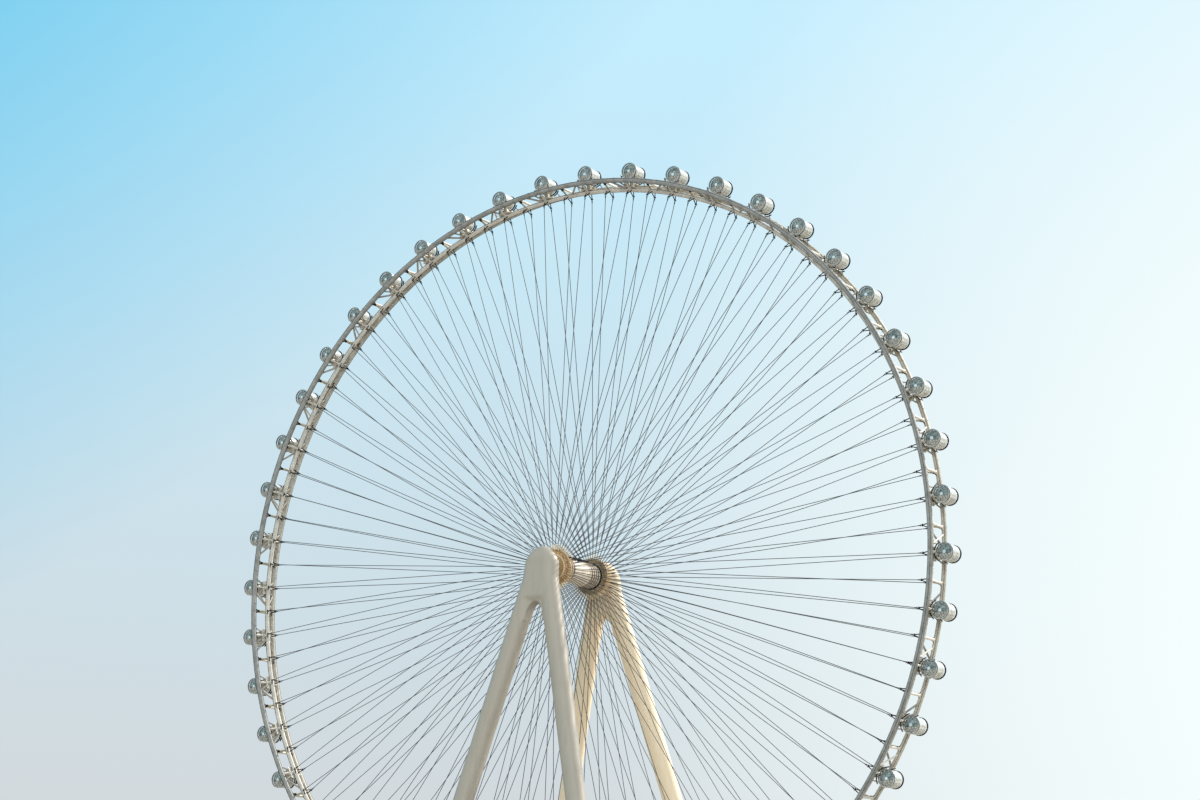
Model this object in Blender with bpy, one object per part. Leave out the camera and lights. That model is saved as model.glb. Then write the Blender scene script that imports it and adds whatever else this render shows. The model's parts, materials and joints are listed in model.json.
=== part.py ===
"""A giant observation wheel with 48 level capsules, as a 1:10 scale model.

The wheel stands on two A-frames. Each one is a domed head that carries an end of
the axle, with two round legs that splay outwards in both directions. The rim is a
ring truss of three tubes, held to two hub flanges by 192 straight cables. The
capsules sit outside the rim, between its two outer tubes, and each one turns on
its own axis, so that it stays level while the wheel goes round.

The origin is on the ground, below the middle of the axle. Z is up, the axle runs
along Y, and the front of the wheel faces -Y. All lengths are in metres.
"""
import math

import bmesh
import bpy
from mathutils import Matrix, Vector

# The wheel as a whole
HUB_HEIGHT = 12.7
CAPSULE_CIRCLE = 12.0
CAPSULE_COUNT = 48
FIRST_CAPSULE_ANGLE = math.radians(208.0)
CAPSULE_PITCH = math.tau / CAPSULE_COUNT
STATION_PITCH = CAPSULE_PITCH / 2

# Gaps
REST_GAP = 0.0003
SEAT_GAP = 0.0005
BEARING_GAP = 0.0005

# A capsule is a barrel along Y with rounded shoulders
CAPSULE_RADIUS = 0.25
CAPSULE_HALF_LENGTH = 0.285
CAPSULE_END_RADIUS = 0.21
CAPSULE_SHOULDER = 0.04
CAPSULE_SIDES = 12

# The rim: two outer chords and an inner one, each a square bar set on its corner.
# A chord's corner radius gives the bar the same section area as the real tube.
OUTER_CHORD_CORNER = 0.08
INNER_CHORD_CORNER = 0.1
OUTER_CHORD_CIRCLE = CAPSULE_CIRCLE - CAPSULE_RADIUS - SEAT_GAP - OUTER_CHORD_CORNER
OUTER_CHORD_Y = 0.46
INNER_CHORD_CIRCLE = 11.47
FRAME_HALF_WIDTH = 0.035

# The lugs stick out of the inner chord, towards each flange. Their ends face the
# way that the chord's inward faces do.
LUG_REACH = 0.13
LUG_DROP = 0.03
LUG_TAPER = 0.6

# The hub: a drum on the fixed spindle, and two flanges on the drum for the cables
HUB_SIDES = 24
SPINDLE_RADIUS = 0.2
DRUM_RADIUS = 0.36
DRUM_HALF_LENGTH = 1.2
FLANGE_RADIUS = 0.62
FLANGE_Y = 1.0
FLANGE_HALF_THICKNESS = 0.04

# The cables
CABLE_RADIUS = 0.011
CABLE_SIDES = 3
CABLE_ROOT = 0.57
CABLE_CROSSING_OFFSET = 0.015

# The A-frames
BOSS_RADIUS = 0.36
BOSS_FACE_Y = 1.22
LEG_RADIUS = 0.285
LEG_SIDES = 20
LEG_FOOT = Vector((3.42, 3.54, 0.0))
LEG_TOP = Vector((0.165, 1.63, HUB_HEIGHT))
HEAD_HALF_WIDTH = 0.54
SHOULDER_DROP = 0.75
DOME_RISE = 0.54
DOME_POWER = 1.6
CROTCH_DROP = 1.1
ARCH_RISE = 0.55
ARCH_STEPS = 6
WEB_HALF_THICKNESS = 0.2
STUB_LENGTH = 0.6
FOOT_RADIUS = 0.45
FOOT_HEIGHT = 0.12

Y_AXIS = Vector((0.0, 1.0, 0.0))
AXLE_CENTRE = Vector((0.0, 0.0, HUB_HEIGHT))


def clear_scene():
    for old in list(bpy.data.objects):
        bpy.data.objects.remove(old, do_unlink=True)


def paint(name, colour, roughness, metallic):
    """Make a Principled material for one piece."""
    material = bpy.data.materials.new(name)
    material.use_nodes = True
    shader = material.node_tree.nodes["Principled BSDF"]
    shader.inputs["Base Color"].default_value = (*colour, 1.0)
    shader.inputs["Roughness"].default_value = roughness
    shader.inputs["Metallic"].default_value = metallic
    return material


def new_object(name, bm, material):
    """Turn a bmesh into an object that is shaded smooth, with its edges kept sharp."""
    bmesh.ops.recalc_face_normals(bm, faces=bm.faces)
    mesh = bpy.data.meshes.new(name)
    bm.to_mesh(mesh)
    bm.free()
    mesh.materials.append(material)
    mesh.shade_smooth()
    mesh.set_sharp_from_angle(angle=math.radians(40.0))
    obj = bpy.data.objects.new(name, mesh)
    bpy.context.collection.objects.link(obj)
    return obj


def union(obj, tool):
    """Weld a helper object into a piece, and keep the helper as a guide only."""
    tool.hide_render = True
    tool.display_type = "WIRE"
    weld = obj.modifiers.new("weld", "BOOLEAN")
    weld.operation = "UNION"
    weld.solver = "EXACT"
    weld.object = tool


def turned(profile, sides, closed):
    """Turn a profile of (radius, y) points about the Y axis.

    A closed profile makes a ring, and an open one a solid with flat ends.
    """
    bm = bmesh.new()
    points = [bm.verts.new((radius, y, 0.0)) for radius, y in profile]
    pairs = list(zip(points, points[1:]))
    if closed:
        pairs.append((points[-1], points[0]))
    edges = [bm.edges.new(pair) for pair in pairs]
    bmesh.ops.spin(bm, geom=points + edges, cent=(0, 0, 0), axis=Y_AXIS,
                   angle=math.tau, steps=sides, use_merge=True)
    if not closed:
        rims = [edge for edge in bm.edges if edge.is_boundary]
        bmesh.ops.holes_fill(bm, edges=rims, sides=0)
    return bm


def repeat_round_axle(bm, count):
    """Copy everything in the bmesh round the Y axis, to make count equal sectors."""
    pitch = math.tau / count
    bmesh.ops.spin(bm, geom=bm.verts[:] + bm.edges[:] + bm.faces[:], cent=(0, 0, 0),
                   axis=Y_AXIS, angle=-pitch * (count - 1), steps=count - 1,
                   use_duplicate=True)


def capsule_direction(index):
    """The unit vector from the axle to a capsule, in the wheel's plane."""
    angle = FIRST_CAPSULE_ANGLE - index * CAPSULE_PITCH
    return Vector((math.cos(angle), 0.0, math.sin(angle)))


def place_on_wheel(obj):
    """Put a piece that was modelled about the Y axis on the axle, at the first capsule."""
    obj.location = AXLE_CENTRE
    obj.rotation_euler = (0.0, -FIRST_CAPSULE_ANGLE, 0.0)


def make_capsules(material):
    """Place the capsules. A corner of each barrel points at its seat on the rim."""
    profile = [
        (CAPSULE_END_RADIUS, -CAPSULE_HALF_LENGTH),
        (CAPSULE_RADIUS, CAPSULE_SHOULDER - CAPSULE_HALF_LENGTH),
        (CAPSULE_RADIUS, CAPSULE_HALF_LENGTH - CAPSULE_SHOULDER),
        (CAPSULE_END_RADIUS, CAPSULE_HALF_LENGTH),
    ]
    first = new_object("capsule_01", turned(profile, CAPSULE_SIDES, False), material)
    for index in range(CAPSULE_COUNT):
        if index == 0:
            capsule = first
        else:
            capsule = bpy.data.objects.new(f"capsule_{index + 1:02d}", first.data)
            bpy.context.collection.objects.link(capsule)
        outward = capsule_direction(index)
        capsule.location = AXLE_CENTRE + outward * CAPSULE_CIRCLE
        capsule.rotation_euler = (0.0, math.atan2(-outward.z, outward.x), 0.0)


def chord_section(bm, circle, y, corner):
    """Draw a chord's square section on its corner, and return its points.

    The points go round from the outward corner: outward, back, inward, front.
    """
    places = [(circle + corner, y), (circle, y + corner), (circle - corner, y), (circle, y - corner)]
    return [bm.verts.new((radius, place_y, 0.0)) for radius, place_y in places]


def sweep_chord(bm, section, half_frame):
    """Sweep a section over a short stretch, for a frame, and on to the next station.

    The answer is the four faces of the short stretch, between corners 0-1, 1-2, 2-3
    and 3-0.
    """
    ring = section + [bm.edges.new((section[i], section[(i + 1) % 4])) for i in range(4)]
    bmesh.ops.rotate(bm, verts=section, cent=(0, 0, 0), matrix=Matrix.Rotation(half_frame, 3, "Y"))
    start = bmesh.ops.spin(bm, geom=ring, cent=(0, 0, 0), axis=Y_AXIS,
                           angle=-2 * half_frame, steps=1)["geom_last"]
    short = [face for corner in section for face in corner.link_faces]
    stretch = STATION_PITCH - 2 * half_frame
    bmesh.ops.spin(bm, geom=start, cent=(0, 0, 0), axis=Y_AXIS, angle=-stretch, steps=1)
    ordered = []
    for i in range(4):
        pair = {section[i], section[(i + 1) % 4]}
        ordered.append(next(face for face in short if pair <= set(face.verts)))
    return ordered


def bridge(bm, face_a, face_b):
    """Join two facing faces with a bar of the same section."""
    edges = list(face_a.edges) + list(face_b.edges)
    bmesh.ops.delete(bm, geom=[face_a, face_b], context="FACES_ONLY")
    bmesh.ops.bridge_loops(bm, edges=edges)


def make_lug(bm, face):
    """Grow a lug for the cables out of one of the inner chord's inward faces."""
    side = math.copysign(1.0, face.calc_center_median().y)
    grown = bmesh.ops.extrude_discrete_faces(bm, faces=[face])["faces"][0]
    bmesh.ops.translate(bm, verts=grown.verts, vec=(-LUG_DROP, side * LUG_REACH, 0.0))
    middle = Matrix.Translation(-grown.calc_center_median())
    bmesh.ops.scale(bm, verts=grown.verts, vec=(LUG_TAPER,) * 3, space=middle)


def make_rim(material):
    """Model one bay of the ring truss, with its frame, and repeat it round the axle."""
    bm = bmesh.new()
    half_frame = math.asin(FRAME_HALF_WIDTH / OUTER_CHORD_CIRCLE)
    front = sweep_chord(
        bm, chord_section(bm, OUTER_CHORD_CIRCLE, -OUTER_CHORD_Y, OUTER_CHORD_CORNER), half_frame)
    back = sweep_chord(
        bm, chord_section(bm, OUTER_CHORD_CIRCLE, OUTER_CHORD_Y, OUTER_CHORD_CORNER), half_frame)
    inner = sweep_chord(
        bm, chord_section(bm, INNER_CHORD_CIRCLE, 0.0, INNER_CHORD_CORNER), half_frame)
    bridge(bm, front[0], back[3])
    bridge(bm, front[1], inner[3])
    bridge(bm, back[2], inner[0])
    make_lug(bm, inner[1])
    make_lug(bm, inner[2])
    repeat_round_axle(bm, 2 * CAPSULE_COUNT)
    bmesh.ops.remove_doubles(bm, verts=bm.verts, dist=0.0001)
    place_on_wheel(new_object("rim", bm, material))


def lug_end(side):
    """The middle of a lug's end, at its own station, and the way that it faces."""
    flat = math.cos(math.asin(FRAME_HALF_WIDTH / OUTER_CHORD_CIRCLE))
    radius = (INNER_CHORD_CIRCLE - INNER_CHORD_CORNER / 2) * flat - LUG_DROP
    middle = Vector((radius, side * (INNER_CHORD_CORNER / 2 + LUG_REACH), 0.0))
    return middle, Vector((-1.0, side, 0.0)).normalized()


def add_cable(bm, lug_side, offset, side):
    """Stretch a cable from the flange on one side to a lug of the inner chord.

    The flange is at side * FLANGE_Y. The cable is cut to lie along the end of the
    lug on lug_side.
    """
    lug, away = lug_end(lug_side)
    root = Vector((CABLE_ROOT, side * FLANGE_Y, offset))
    tip = lug + Vector((LUG_REACH, 0.0, offset))
    line = tip - root
    turn = line.to_track_quat("Z", "Y").to_matrix().to_4x4()
    cable = bmesh.ops.create_cone(
        bm, cap_ends=True, segments=CABLE_SIDES, radius1=CABLE_RADIUS, radius2=CABLE_RADIUS,
        depth=line.length, matrix=Matrix.Translation((root + tip) / 2) @ turn)
    verts = cable["verts"]
    edges = {edge for vert in verts for edge in vert.link_edges}
    faces = {face for vert in verts for face in vert.link_faces}
    cut = bmesh.ops.bisect_plane(
        bm, geom=verts + list(edges) + list(faces), plane_co=lug + away * REST_GAP,
        plane_no=away, clear_inner=True)
    ends = [item for item in cut["geom_cut"] if isinstance(item, bmesh.types.BMEdge)]
    bmesh.ops.contextual_create(bm, geom=ends)


def make_cables(name, side, material):
    """Make a hub flange with its 96 cables, welded into one piece.

    Below a capsule the cable runs to the lug on its own side. Halfway between two
    capsules it crosses over to the lug on the far side, past the other flange's cable.
    """
    straight = bmesh.new()
    add_cable(straight, side, 0.0, side)
    repeat_round_axle(straight, CAPSULE_COUNT)
    crossing = bmesh.new()
    add_cable(crossing, -side, side * CABLE_CROSSING_OFFSET, side)
    bmesh.ops.rotate(crossing, verts=crossing.verts, cent=(0, 0, 0),
                     matrix=Matrix.Rotation(STATION_PITCH, 3, "Y"))
    repeat_round_axle(crossing, CAPSULE_COUNT)
    inner = DRUM_RADIUS + REST_GAP / math.cos(math.pi / HUB_SIDES)
    low = side * FLANGE_Y - FLANGE_HALF_THICKNESS
    high = side * FLANGE_Y + FLANGE_HALF_THICKNESS
    profile = [(inner, low), (FLANGE_RADIUS, low), (FLANGE_RADIUS, high), (inner, high)]
    flange = new_object(name, turned(profile, HUB_SIDES, True), material)
    place_on_wheel(flange)
    for label, bm in (("straight", straight), ("crossing", crossing)):
        guide = new_object(f"{name}_{label}_guide", bm, material)
        place_on_wheel(guide)
        union(flange, guide)


def make_hub(drum_material, spindle_material):
    """Make the turning drum, and the fixed spindle inside it."""
    bore = (SPINDLE_RADIUS + BEARING_GAP) / math.cos(math.pi / HUB_SIDES)
    profile = [
        (bore, -DRUM_HALF_LENGTH), (DRUM_RADIUS, -DRUM_HALF_LENGTH),
        (DRUM_RADIUS, DRUM_HALF_LENGTH), (bore, DRUM_HALF_LENGTH),
    ]
    place_on_wheel(new_object("hub_drum", turned(profile, HUB_SIDES, True), drum_material))
    reach = BOSS_FACE_Y - REST_GAP
    shaft = turned([(SPINDLE_RADIUS, -reach), (SPINDLE_RADIUS, reach)], HUB_SIDES, False)
    spindle = new_object("spindle", shaft, spindle_material)
    place_on_wheel(spindle)
    spindle.rotation_euler[1] += math.pi / HUB_SIDES


def leg_line(side_x, side_y):
    """The foot of a leg's centre line, and the line's upward unit vector."""
    foot = Vector((side_x * LEG_FOOT.x, side_y * LEG_FOOT.y, LEG_FOOT.z))
    top = Vector((side_x * LEG_TOP.x, side_y * LEG_TOP.y, LEG_TOP.z))
    return foot, (top - foot).normalized()


def leg_half_gap(z):
    """How far the legs' centre lines are from the middle, at a height."""
    return LEG_TOP.x + (LEG_FOOT.x - LEG_TOP.x) * (HUB_HEIGHT - z) / HUB_HEIGHT


def leg_plane_y(z):
    """How far the A-frame's leaning plane is from the rim's plane, at a height."""
    return LEG_TOP.y + (LEG_FOOT.y - LEG_TOP.y) * (HUB_HEIGHT - z) / HUB_HEIGHT


def tube(start, end, radius, sides):
    """A solid round bar from one point to another."""
    bm = bmesh.new()
    line = end - start
    turn = line.to_track_quat("Z", "Y").to_matrix().to_4x4()
    bmesh.ops.create_cone(
        bm, cap_ends=True, segments=sides, radius1=radius, radius2=radius,
        depth=line.length, matrix=Matrix.Translation((start + end) / 2) @ turn)
    return bm


def stub_end(side_x, side_y):
    """Where a leg meets its stub below the head, on the leg's centre line."""
    foot, up = leg_line(side_x, side_y)
    height = HUB_HEIGHT - CROTCH_DROP - STUB_LENGTH
    return foot + up * (height / up.z)


def leg_half_width():
    """Half of a level cut through a leg, measured along X."""
    foot, up = leg_line(1, 1)
    return LEG_RADIUS / math.hypot(up.y, up.z)


def head_section(bm, z, half_width, radius, side_y):
    """Two half circles joined by straight sides, at a height."""
    middle_y = side_y * leg_plane_y(min(z, HUB_HEIGHT))
    half = LEG_SIDES // 2
    ring = []
    for end in (1, -1):
        for step in range(half):
            angle = math.pi * step / (half - 1) - math.pi / 2
            x = end * (half_width - radius + radius * math.cos(angle))
            ring.append(bm.verts.new((x, middle_y + end * radius * math.sin(angle), z)))
    return [bm.edges.new((ring[i - 1], ring[i])) for i in range(len(ring))]


def make_web(side_y):
    """The web between two legs: a plate that leans with them, over a pointed arch."""
    crotch = HUB_HEIGHT - CROTCH_DROP
    low = crotch - ARCH_RISE
    high = HUB_HEIGHT - SHOULDER_DROP + LEG_RADIUS / 2
    span = leg_half_gap(low) - leg_half_width()
    outline = [(leg_half_gap(high), high), (leg_half_gap(low), low)]
    for step in range(ARCH_STEPS + 1):
        angle = math.pi / 2 * (1 - step / ARCH_STEPS)
        outline.append((span * math.sin(angle), low + ARCH_RISE * math.cos(angle)))
    outline += [(-x, z) for x, z in reversed(outline[:-1])]
    bm = bmesh.new()
    front = [bm.verts.new((x, side_y * leg_plane_y(z) - WEB_HALF_THICKNESS, z)) for x, z in outline]
    grown = bmesh.ops.extrude_face_region(bm, geom=[bm.faces.new(front)])["geom"]
    back = [item for item in grown if isinstance(item, bmesh.types.BMVert)]
    bmesh.ops.translate(bm, verts=back, vec=Y_AXIS * 2 * WEB_HALF_THICKNESS)
    return bm


def make_head(name, side_y, material):
    """Loft the domed head, and weld on the spindle's boss, the web and the two leg stubs."""
    shoulder = HUB_HEIGHT - SHOULDER_DROP
    neck = HUB_HEIGHT - SHOULDER_DROP / 2
    bm = bmesh.new()
    rings = [head_section(bm, z, leg_half_gap(z) + leg_half_width(), LEG_RADIUS, side_y)
             for z in (shoulder, neck)]
    for share in (0.0, 0.4, 0.7, 0.9, 0.98):
        narrowing = (1.0 - share ** DOME_POWER) ** (1.0 / DOME_POWER)
        rounding = math.sqrt(1.0 - share ** 2)
        rings.append(head_section(bm, HUB_HEIGHT + DOME_RISE * share, HEAD_HALF_WIDTH * narrowing,
                                  LEG_RADIUS * min(rounding, 1.8 * narrowing), side_y))
    for lower, upper in zip(rings, rings[1:]):
        bmesh.ops.bridge_loops(bm, edges=lower + upper)
    bmesh.ops.holes_fill(bm, edges=rings[0] + rings[-1], sides=0)
    head = new_object(name, bm, material)
    centre = AXLE_CENTRE + Y_AXIS * side_y * LEG_TOP.y
    face = AXLE_CENTRE + Y_AXIS * side_y * BOSS_FACE_Y
    union(head, new_object(f"{name}_boss_guide", tube(centre, face, BOSS_RADIUS, HUB_SIDES), material))
    union(head, new_object(f"{name}_web_guide", make_web(side_y), material))
    for label, side_x in (("left", -1), ("right", 1)):
        foot, up = leg_line(side_x, side_y)
        start = stub_end(side_x, side_y)
        inside = foot + up * ((shoulder + LEG_RADIUS / 2) / up.z)
        stub = tube(start, inside, LEG_RADIUS, LEG_SIDES)
        union(head, new_object(f"{name}_{label}_stub_guide", stub, material))


def make_leg(name, side_x, side_y, material):
    """Cut a round leg level at the ground, and weld its foot plate on."""
    foot, up = leg_line(side_x, side_y)
    end = stub_end(side_x, side_y) - up * REST_GAP
    bm = tube(foot - up * LEG_RADIUS, end, LEG_RADIUS, LEG_SIDES)
    cut = bmesh.ops.bisect_plane(
        bm, geom=bm.verts[:] + bm.edges[:] + bm.faces[:], plane_co=(0, 0, 0.0),
        plane_no=(0, 0, 1), clear_inner=True)
    rim = [item for item in cut["geom_cut"] if isinstance(item, bmesh.types.BMEdge)]
    bmesh.ops.contextual_create(bm, geom=rim)
    leg = new_object(name, bm, material)
    ground = Vector((foot.x, foot.y, 0.0))
    plate = tube(ground, ground + Vector((0, 0, FOOT_HEIGHT)), FOOT_RADIUS, LEG_SIDES)
    union(leg, new_object(f"{name}_foot_guide", plate, material))


def main():
    clear_scene()
    cream = paint("cream_paint", (0.72, 0.64, 0.53), 0.45, 0.0)
    rim_paint = paint("rim_paint", (0.47, 0.43, 0.40), 0.5, 0.0)
    cable_steel = paint("cable_steel", (0.10, 0.11, 0.12), 0.5, 0.8)
    hub_paint = paint("hub_paint", (0.62, 0.47, 0.31), 0.45, 0.0)
    spindle_steel = paint("spindle_steel", (0.30, 0.29, 0.28), 0.4, 0.9)
    capsule_shell = paint("capsule_shell", (0.55, 0.58, 0.60), 0.25, 0.3)
    make_rim(rim_paint)
    make_cables("near_flange_and_cables", -1, cable_steel)
    make_cables("far_flange_and_cables", 1, cable_steel)
    make_hub(hub_paint, spindle_steel)
    make_capsules(capsule_shell)
    for row, side_y in (("near", -1), ("far", 1)):
        make_head(f"{row}_head", side_y, cream)
        for column, side_x in (("left", -1), ("right", 1)):
            make_leg(f"{row}_{column}_leg", side_x, side_y, cream)


main()
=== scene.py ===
# %% [markdown]
# # Dressing a giant observation wheel
# The construction of this wheel is already done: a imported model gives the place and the
# size of every tube, cable, leg and capsule, as plain solids. This lesson gives each of
# them the shape and the finish that the eye expects. It works in metres, at 1:10, and
# it reads nothing but that model.

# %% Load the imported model
import json
import math

import bmesh
import bpy
from mathutils import Matrix, Vector


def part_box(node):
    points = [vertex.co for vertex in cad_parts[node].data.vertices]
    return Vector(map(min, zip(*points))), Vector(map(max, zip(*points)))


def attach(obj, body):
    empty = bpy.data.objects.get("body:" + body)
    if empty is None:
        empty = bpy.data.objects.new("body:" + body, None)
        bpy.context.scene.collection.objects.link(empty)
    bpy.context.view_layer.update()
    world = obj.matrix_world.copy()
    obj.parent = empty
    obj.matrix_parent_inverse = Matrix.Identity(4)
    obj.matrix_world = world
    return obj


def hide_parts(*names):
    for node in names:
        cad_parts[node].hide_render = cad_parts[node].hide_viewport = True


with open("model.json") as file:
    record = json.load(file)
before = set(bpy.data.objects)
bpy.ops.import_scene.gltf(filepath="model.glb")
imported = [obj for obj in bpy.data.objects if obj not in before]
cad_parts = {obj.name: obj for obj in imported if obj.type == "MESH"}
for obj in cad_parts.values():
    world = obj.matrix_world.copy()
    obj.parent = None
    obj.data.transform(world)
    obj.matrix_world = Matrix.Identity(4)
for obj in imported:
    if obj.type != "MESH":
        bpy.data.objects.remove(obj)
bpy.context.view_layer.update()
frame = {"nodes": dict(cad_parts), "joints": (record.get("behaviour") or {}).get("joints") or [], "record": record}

# %% [markdown]
# ## Measure before modelling
# A maker measures the frame before cutting anything for it. The joints say where the
# axle and the capsules are, and the boxes of the solids say how big things are. Reading
# them here, and not typing them in again, keeps the new pieces on the old ones.

# %% Read the sizes from the frame
joints = {joint["name"]: joint for joint in frame["joints"]}
AXLE = Vector(joints["wheel_spin"]["pos_m"])
CAPSULES = sorted(node for node in frame["nodes"] if node.startswith("capsule_"))
SEATS = {node: Vector(joints[f"{node}_level"]["pos_m"]) for node in CAPSULES}
BAYS = len(CAPSULES)
BAY = math.tau / BAYS
first_arm = SEATS[CAPSULES[0]] - AXLE
CAPSULE_CIRCLE = first_arm.length
FIRST_ANGLE = math.atan2(first_arm.z, first_arm.x)

CAPSULE_RADIUS = 0.25
CAPSULE_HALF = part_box(CAPSULES[0])[1].y

OUTER_BAR = 0.08
TUBE_INSET = 0.012
TRUSS_DEPTH = 0.178
OUTER_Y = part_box("rim")[1].y - OUTER_BAR - TUBE_INSET
OUTER_CIRCLE = CAPSULE_CIRCLE - CAPSULE_RADIUS - OUTER_BAR
INNER_CIRCLE = OUTER_CIRCLE - TRUSS_DEPTH

drum_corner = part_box("hub_drum")[1]
DRUM_RADIUS = drum_corner.x
DRUM_HALF = drum_corner.y
print(f"{BAYS} capsules on a circle of {CAPSULE_CIRCLE:.2f} m round an axle {AXLE.z:.2f} m up")

# %% [markdown]
# ## A frame of mind for round things
# Everything on the wheel is easiest to model at three o'clock, where outwards is +X, the
# axle runs along Y and the way round is +Z. One bay is made there and is then copied
# round. Only at the very end is the whole turned to where the first capsule sits and
# lifted onto the axle.

# %% Points and turns round the axle
Y_AXIS = Vector((0.0, 1.0, 0.0))
UP = Vector((0.0, 0.0, 1.0))
ROWS = {"near": -1, "far": 1}


def around(radius, angle, y):
    """A point on the wheel, as it is modelled round the origin."""
    return Vector((radius * math.cos(angle), y, radius * math.sin(angle)))


def facing(angle):
    """The turn about the Y axis that brings three o'clock to an angle."""
    return Matrix.Rotation(-angle, 4, "Y")


def even_angles(count, offset=0.0):
    """Angles spread evenly over a full turn."""
    return [math.tau * (number + offset) / count for number in range(count)]


print(f"one bay is {math.degrees(BAY)} degrees")


# %% Small helpers for bars, boxes and rings
def faces_at(verts):
    return {face for vert in verts for face in vert.link_faces}


def paint_faces(verts, index):
    """Give the faces at these corners one of the piece's finishes."""
    for face in faces_at(verts):
        face.material_index = index


def bar(bm, start, end, radius, sides=10, end_radius=None, finish=0):
    """A round bar or a cone from one point to another."""
    line = Vector(end) - Vector(start)
    turn = line.to_track_quat("Z", "Y").to_matrix().to_4x4()
    middle = (Vector(start) + Vector(end)) / 2
    made = bmesh.ops.create_cone(
        bm, cap_ends=True, segments=sides, radius1=radius,
        radius2=radius if end_radius is None else end_radius,
        depth=line.length, matrix=Matrix.Translation(middle) @ turn)
    paint_faces(made["verts"], finish)
    return made["verts"]


def block(bm, middle, size, turn=None, bevel=0.0, finish=0):
    """A box, turned and with softened edges if asked."""
    place = Matrix.Translation(middle) @ (turn or Matrix.Identity(4))
    made = bmesh.ops.create_cube(bm, size=1.0, matrix=place @ Matrix.Diagonal((*size, 1.0)))
    verts = made["verts"]
    if bevel:
        edges = list({edge for vert in verts for edge in vert.link_edges})
        cut = bmesh.ops.bevel(bm, geom=edges, offset=bevel, affect="EDGES", segments=1,
                              profile=0.5, material=-1)
        verts = cut["verts"]
    paint_faces(verts, finish)


def turned(bm, profile, sides, finish=0, closed=True):
    """Turn a profile of (radius, y) points about the Y axis."""
    old = set(bm.verts)
    points = [bm.verts.new((radius, y, 0.0)) for radius, y in profile]
    following = points[1:] + points[:1] if closed else points[1:]
    edges = [bm.edges.new(pair) for pair in zip(points, following)]
    bmesh.ops.spin(bm, geom=points + edges, cent=(0, 0, 0), axis=Y_AXIS, angle=math.tau,
                   steps=sides, use_merge=True)
    new = [vert for vert in bm.verts if vert not in old]
    paint_faces(new, finish)
    return new


def flat_ring(bm, inner, outer, start, end, sides, finish):
    """A ring of plate round the axis, from one place along it to another."""
    turned(bm, [(inner, start), (outer, start), (outer, end), (inner, end)], sides, finish)


print("bars, boxes and rings can be added")


# %% Copy, lift and finish a piece
def copy_round(bm, count, geom=None):
    """Copy geometry round the Y axis, the way that the angles grow."""
    geom = geom or bm.verts[:] + bm.edges[:] + bm.faces[:]
    pitch = math.tau / count
    bmesh.ops.spin(bm, geom=geom, cent=(0, 0, 0), axis=Y_AXIS, angle=-pitch * (count - 1),
                   steps=count - 1, use_duplicate=True)


def lift_onto_axle(bm):
    """Turn what was modelled at three o'clock to the first capsule, round the axle."""
    place = Matrix.Translation(AXLE) @ facing(FIRST_ANGLE)
    bmesh.ops.transform(bm, matrix=place, verts=bm.verts)


def new_mesh(name, bm):
    mesh = bpy.data.meshes.new(name)
    bm.to_mesh(mesh)
    bm.free()
    return mesh


def new_object(name, data):
    made = bpy.data.objects.new(name, data)
    bpy.context.scene.collection.objects.link(made)
    return made


def make_piece(name, bm, finishes, body, replaced=(), sharp=35.0):
    """Close a mesh into a piece that rides on a body."""
    bmesh.ops.recalc_face_normals(bm, faces=bm.faces)
    mesh = new_mesh(name, bm)
    for finish in finishes:
        mesh.materials.append(finish)
    mesh.shade_smooth()
    mesh.set_sharp_from_angle(angle=math.radians(sharp))
    piece = new_object(name, mesh)
    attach(piece, body)
    if replaced:
        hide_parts(*replaced)
    triangles = sum(len(face.vertices) - 2 for face in mesh.polygons)
    print(f"{name}: {triangles} triangles on {body}")


print("helpers ready")

# %% [markdown]
# ## Writing a finish as a sum
# A finish is a small graph of nodes. Written out node by node it hides its own idea, so
# a socket is wrapped in a class that knows + - and *: an expression such as
# 1 - specks * 0.6 then adds its own Math nodes. Colours go through Mix, because a Math
# node would turn them grey.

# %% A socket that can be calculated with
class Wire:
    """An output socket. A sum of wires adds the Math nodes that it needs."""

    def __init__(self, finish, socket):
        self.finish = finish
        self.socket = socket

    def maths(self, operation, first, second):
        return self.finish.node("ShaderNodeMath", {"operation": operation}, {0: first, 1: second})

    def __add__(self, other):
        return self.maths("ADD", self, other)

    def __sub__(self, other):
        return self.maths("SUBTRACT", self, other)

    def __mul__(self, other):
        return self.maths("MULTIPLY", self, other)

    def __rsub__(self, other):
        return self.maths("SUBTRACT", other, self)

    __radd__ = __add__
    __rmul__ = __mul__

    def spread(self, low, high):
        """Stretch the part of the range between low and high to 0 and 1."""
        return self.finish.node("ShaderNodeMapRange", {}, {0: self, 1: low, 2: high})


print("wires can be added, taken away and multiplied")


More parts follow.
